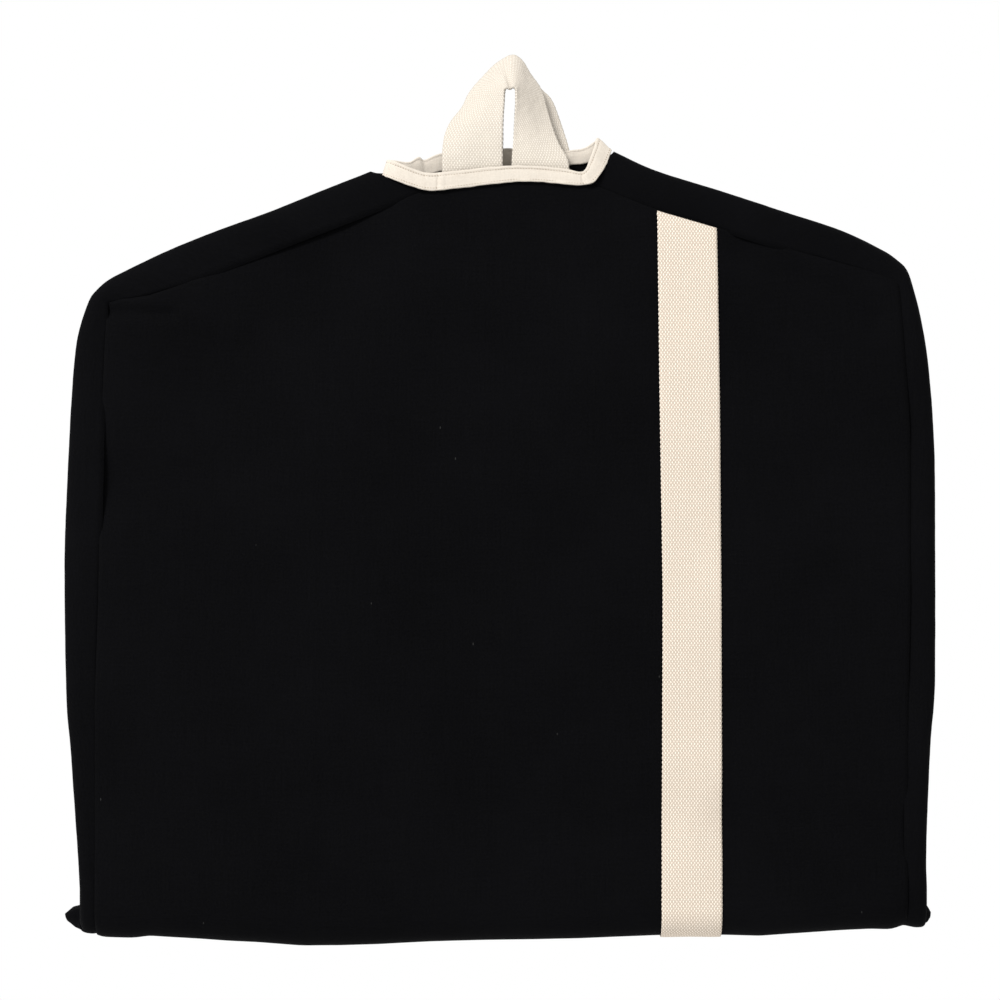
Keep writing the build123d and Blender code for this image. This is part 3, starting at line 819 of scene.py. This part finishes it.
# ---------------------------------------------------------------- collar
# Stations round the neck, front first from the left: foot x, z, ridge x, z, and y
COLLAR = [
    (-54.4, -67.0, -53.0, -55.6, -18.9), (-46.0, -67.2, -45.0, -55.4, -19.2),
    (-32.0, -65.8, -31.5, -54.2, -19.2),
    (-14.0, -63.6, -14.0, -52.2, -19.2), (4.6, -61.6, 4.6, -50.8, -19.2), (21.0, -61.6, 22.0, -51.4, -19.2),
    (36.0, -63.2, 37.0, -53.0, -19.2), (48.0, -63.8, 47.4, -55.0, -19.2), (55.6, -62.2, 50.6, -53.4, -19.4),
    (60.4, -57.2, 53.4, -47.5, -19.0), (64.2, -50.4, 55.8, -40.0, -17.0), (67.6, -42.2, 57.8, -33.8, -13.4),
    (66.0, -42.6, 58.2, -34.0, -9.6), (60.4, -46.6, 54.6, -36.4, -6.2), (51.0, -49.6, 49.8, -39.4, -4.6),
    (38.0, -51.0, 38.0, -41.2, -4.4), (18.0, -51.6, 18.0, -40.2, -4.4), (0.0, -51.6, 0.0, -39.6, -4.4),
    (-22.0, -52.6, -22.0, -40.8, -4.4), (-44.0, -55.0, -44.0, -43.0, -4.6),
    (-53.0, -57.4, -54.6, -46.8, -5.2),
    (-58.0, -58.0, -58.6, -45.2, -7.2), (-66.0, -58.4, -65.6, -48.6, -9.4),
    (-76.0, -58.0, -74.6, -47.4, -11.0),
    (-81.6, -57.8, -78.2, -47.2, -14.4), (-76.0, -60.0, -74.0, -48.2, -17.6),
    (-68.0, -62.8, -67.4, -50.8, -18.9),
    (-61.0, -65.2, -60.4, -53.6, -19.0),
]
# Section of the folded band, from its outer foot over the ridge to its inner foot: share of the height,
# distance out
COLLAR_SECTION = [
    (0.0, 1.0), (0.06, 1.25), (0.13, 0.95), (0.3, 1.12), (0.5, 1.2), (0.68, 1.1), (0.76, 1.0), (0.81, 0.7),
    (0.86, 1.0), (0.92, 1.0), (0.97, 0.8), (1.0, 0.25), (1.0, -0.25), (0.97, -0.8), (0.9, -1.0),
    (0.86, -0.72),
    (0.8, -0.9), (0.5, -1.2), (0.1, -1.0), (0.0, -1.0),
]
COLLAR_HEIGHT = 13  # for the length of cloth across the section
COLLAR_JOINS = [(-46.5, -19.2, -67.9), (49.0, -19.2, -65.6)]  # where its strips are sewn end to end


def collar():
    """A band of canvas folded over the neck edge, all round. Returns its rows of stitches."""
    around = 620
    stations = np.array(COLLAR)
    stations = behind(behind(stations, stations[:, 4], (0, 1)), stations[:, 4], (2, 3))
    curve = spline(stations, around * 4, closed=True)
    foot = np.stack([curve[:, 0], curve[:, 4], curve[:, 1]], axis=1)
    ridge = np.stack([curve[:, 2], curve[:, 4], curve[:, 3]], axis=1)
    both = np.hstack([foot, ridge])
    both = even(np.vstack([both, both[:1]]), around + 1)[:-1]
    foot, ridge = both[:, :3], both[:, 3:]
    middle = (foot + ridge) / 2
    heading = np.roll(middle, -1, axis=0) - np.roll(middle, 1, axis=0)
    rise = ridge - foot
    out = np.cross(heading, rise)
    out /= np.linalg.norm(out, axis=1, keepdims=True)
    step = np.linalg.norm(heading, axis=1) / 2
    station = np.cumsum(step)
    rise_unit = rise / np.linalg.norm(rise, axis=1, keepdims=True)
    grid = []
    lengths = np.linalg.norm(rise, axis=1)
    joins = [np.argmin(np.linalg.norm(foot - np.array(p), axis=1)) for p in COLLAR_JOINS]
    groove = sum(np.exp(-(((station - station[j]) / 0.7) ** 2)) for j in joins)
    welt = sum(np.exp(-(((station - station[j] - 3.2) / 1.6) ** 2)) for j in joins)
    for share, off in COLLAR_SECTION:
        pucker = 0.16 * ripple(station, share * 13, 7, 71) + 0.3 * ripple(station, share * 13, 24, 72)
        wave = 0.25 * ripple(station, 0.0, 12, 73)
        if off > 0:
            off = off * (1 + 0.35 * welt - 0.5 * groove)
        grid.append(foot + rise_unit * (share * lengths + wave)[:, None] + out * (off + pucker)[:, None])
    grid = np.array(grid)
    u = np.broadcast_to(station, grid.shape[:2])
    steps = np.diff(np.array(COLLAR_SECTION) * (COLLAR_HEIGHT, 1), axis=0)
    v = np.broadcast_to(np.r_[0, np.cumsum(np.hypot(*steps.T))][:, None], grid.shape[:2])
    index = np.arange(grid.shape[0] * around).reshape(-1, around)
    index = np.concatenate([index, index[:, :1]], axis=1)
    a, b, c, d = index[:-1, :-1], index[:-1, 1:], index[1:, 1:], index[1:, :-1]
    faces = np.stack([a, b, c, d], axis=2).reshape(-1, 4)
    under = np.stack([index[-1, :-1], index[-1, 1:], index[0, 1:], index[0, :-1]], axis=1)
    faces = np.concatenate([faces, under])
    cloth = np.stack([u, v, np.zeros_like(u)], axis=2)
    piece = new_piece("collar", grid.reshape(-1, 3), faces.tolist(), natural_canvas, cloth.reshape(-1, 3))
    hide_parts("front_collar", "back_collar", "gusset_collar_left", "gusset_collar_right")
    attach(piece, "upper_half")
    rows = []
    for share, place in ((0.81, "ridge"), (0.14, "foot")):
        line = foot + rise_unit * (share * lengths)[:, None] + out * 1.02
        row = stitch_loop(f"collar_stitches_{place}", np.vstack([line, line[:1]]), out, 1.8, 0.95, 0.19)
        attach(row, "upper_half")
        rows.append(row)
    return rows[::-1]


def stitch_loop(name, line, outs, pitch, length, radius):
    """Separate stitches along a closed line whose outward side turns with it. Each dips in at both ends."""
    outs = np.vstack([outs, outs[:1]])
    count = int(np.linalg.norm(np.diff(line, axis=0), axis=1).sum() / pitch)
    joined = even(np.hstack([line, outs]), count)
    centres, out = joined[:, :3], joined[:, 3:]
    heading = np.gradient(centres, axis=0)
    heading /= np.linalg.norm(heading, axis=1, keepdims=True)
    vertices, faces = [], []
    rings, sides = 5, 6
    for centre, ahead, up in zip(centres, heading, out):
        across_it = np.cross(ahead, up)
        start = len(vertices)
        for k in range(rings):
            t = k / (rings - 1) * 2 - 1
            middle = centre + ahead * t * length / 2 + up * radius * (0.5 - 1.6 * t * t)
            thick = radius * math.sqrt(max(1 - 0.8 * t * t, 0.05))
            for s in range(sides):
                turn = 2 * math.pi * s / sides
                vertices.append(middle + thick * (across_it * math.cos(turn) + up * math.sin(turn)))
        for k in range(rings - 1):
            for s in range(sides):
                a, b = start + k * sides + s, start + k * sides + (s + 1) % sides
                faces.append((a, a + sides, b + sides, b))
        faces.append(tuple(start + s for s in range(sides)))
        faces.append(tuple(start + (rings - 1) * sides + s for s in reversed(range(sides))))
    return new_piece(name, vertices, faces, thread_with_painted_shade)


collar_stitching = collar()


# ---------------------------------------------------------------- handles
# Stations along each handle, left leg to right: slot edge x, y, z and outer edge x, y, z
FRONT_HANDLE = [
    (-3.6, -16.6, -63, -43, -16.6, -63), (-3.6, -16.8, -50, -43, -16.8, -48),
    (-3.6, -16.9, -40, -42.9, -15.6, -40), (-3.5, -17.2, -30, -41.3, -12.0, -30.5),
    (-3.4, -17.3, -20, -37.5, -7.5, -22), (-3.0, -17.2, -10, -30.4, -1.5, -12.7),
    (-3.0, -17.0, -2.5, -25.5, 2.0, -3), (-2.4, -16.8, -0.2, -16.5, 5.0, 7.5),
    (0.0, -16.8, 0.8, -6.5, 6.6, 17.0),
    (2.4, -16.8, 1.0, 2.6, 7.0, 21.8), (4.6, -16.8, 0.6, 9.4, 6.2, 18.4), (5.9, -16.9, -1.8, 15.0, 4.0, 9.6),
    (5.6, -17.1, -8, 21.8, 1.0, -0.8), (4.9, -17.2, -18, 25.4, -4.0, -13), (4.2, -17.2, -28, 29.0, -8.5, -25),
    (3.4, -17.0, -38, 33.2, -12.8, -36), (2.7, -16.8, -48, 39.4, -16.2, -48),
    (2.5, -16.6, -63, 39.9, -16.6, -63),
]
BACK_HANDLE = [
    (-3.2, -2.3, -53, -41, -2.3, -53), (-3.2, -2.3, -41, -41, -2.3, -40), (-3.2, -3.0, -30, -39.4, 0.5, -31),
    (-3.2, -3.8, -20, -35.5, 4.5, -22), (-3.0, -4.4, -10, -29.0, 9.0, -12), (-2.6, -4.6, -2, -22.0, 12.0, -3),
    (-1.0, -4.6, 1.2, -14.0, 14.2, 7.0), (2.6, -4.6, 2.2, 2.6, 15.2, 14.0), (6.2, -4.6, 1.2, 15.0, 14.4, 7.6),
    (6.6, -4.6, -3, 22.0, 12.0, -0.8), (6.0, -4.4, -10, 28.4, 9.4, -7.6), (5.4, -3.8, -20, 33.2, 5.6, -18.6),
    (4.8, -3.0, -30, 37.0, 1.6, -30), (4.4, -2.3, -41, 40.4, -2.0, -42), (4.4, -2.3, -53, 41, -2.3, -53),
]


def handle(name, stations, seed, nodes, start, end, bow):
    """A loop of webbing that stands up from its collar, turned on edge over the hook at its top."""
    rows, columns = 620, 33
    stations = np.array(stations, float)
    stations = behind(behind(stations, stations[:, 1], (0, 2)), stations[:, 4], (3, 5))
    edges = even(spline(stations, 1600), rows)
    slot_edge, outer_edge = edges[:, :3], edges[:, 3:]
    share = np.linspace(0, 1, columns)[None, :, None]
    heading = np.gradient((slot_edge + outer_edge) / 2, axis=0)
    heading /= np.linalg.norm(heading, axis=1, keepdims=True)
    width = outer_edge - slot_edge
    out = np.cross(heading, width)
    out /= np.linalg.norm(out, axis=1, keepdims=True)
    step = np.linalg.norm(np.diff((slot_edge + outer_edge) / 2, axis=0), axis=1)
    station = np.r_[0, np.cumsum(step)]
    along_it = station[:, None]
    scallop = 0.6 * selvage(station)
    width_unit = width / np.linalg.norm(width, axis=1, keepdims=True)
    grid = slot_edge[:, None] + width[:, None] * share
    grid = grid + width_unit[:, None] * (scallop[:, None, None] * (2 * share - 1))
    place = share[..., 0] * 40
    fullness = 0.35 * ripple(along_it, place, 26, seed)
    free = np.clip(np.minimum(station, station[-1] - station) / 25, 0, 1)[:, None]
    arch = bow * np.sin(math.pi * share[..., 0]) * free
    arch = arch + free * fullness + 0.1 * ripple(along_it, place, 8, seed + 1)
    crease_at = station[np.argmax(outer_edge[:, 2])] - 4.0
    crease = -1.3 * np.exp(-(((along_it - crease_at) / 2.2) ** 2)) * np.clip(1.15 - share[..., 0], 0, 1)
    grid = grid + out[:, None] * (arch + crease)[..., None]
    cloth = np.stack(np.broadcast_arrays(place, along_it, np.zeros_like(arch)), axis=2)
    piece = sheet(name, grid, WEBBING, handle_webbing, cloth=cloth)
    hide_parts(*nodes)
    start, end = (tuple(c * MM for c in point) for point in (start, end))
    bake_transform(piece)
    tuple(start)
    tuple(end)


handle(
    "front_handle_loop", FRONT_HANDLE, 81, ("front_handle", "front_handle_tails"),
    (0, -16.8, -53), (0, -16.8, -44), 1.4,
)
handle(
    "back_handle_loop", BACK_HANDLE, 91, ("back_handle", "back_handle_tails"),
    (0, -2.3, -43), (0, -2.3, -34), 1.0,
)


# ---------------------------------------------------------------- floor, light and camera
def studio():
    """A floor far below, a white surround, a soft light from the upper left and a faint one behind."""
    bpy.ops.mesh.primitive_plane_add(size=6.0, location=(0, 0, -1.25))
    floor = bpy.context.object
    floor.name = "floor"
    paint = bpy.data.materials.new("pale_floor")
    paint.use_nodes = True
    paint.node_tree.nodes["Principled BSDF"].inputs["Base Color"].default_value = (0.85, 0.85, 0.85, 1)
    floor.data.materials.append(paint)
    world = bpy.data.worlds.new("studio")
    bpy.context.scene.world = world
    world.use_nodes = True
    world.node_tree.nodes["Background"].inputs["Color"].default_value = (1, 1, 1, 1)
    world.node_tree.nodes["Background"].inputs["Strength"].default_value = 1.0
    for name, place, power in (("key", (-1.8, -2.8, 2.4), 216), ("rim", (1.6, 1.5, 0.9), 12)):
        light = bpy.data.lights.new(name, "AREA")
        light.energy = power
        light.size = 1.2
        lamp = bpy.data.objects.new(name, light)
        lamp.location = place
        aim = np.array((0, 0, -0.3)) - np.array(place)
        tilt = math.acos(aim[2] / np.linalg.norm(aim)) - math.pi
        lamp.rotation_euler = (tilt, 0, math.atan2(aim[0], -aim[1]))
        bpy.context.scene.collection.objects.link(lamp)
    bpy.context.scene.view_settings.view_transform = "Standard"


def camera():
    """A long lens that looks squarely at the front."""
    lens = bpy.data.cameras.new("camera")
    lens.lens = 100
    lens.sensor_width = 36
    eye = bpy.data.objects.new("camera", lens)
    eye.location = [c * MM for c in EYE]
    eye.rotation_euler = (math.pi / 2, 0, 0)
    bpy.context.scene.collection.objects.link(eye)
    bpy.context.scene.camera = eye


studio()
camera()

bpy.context.view_layer.update()
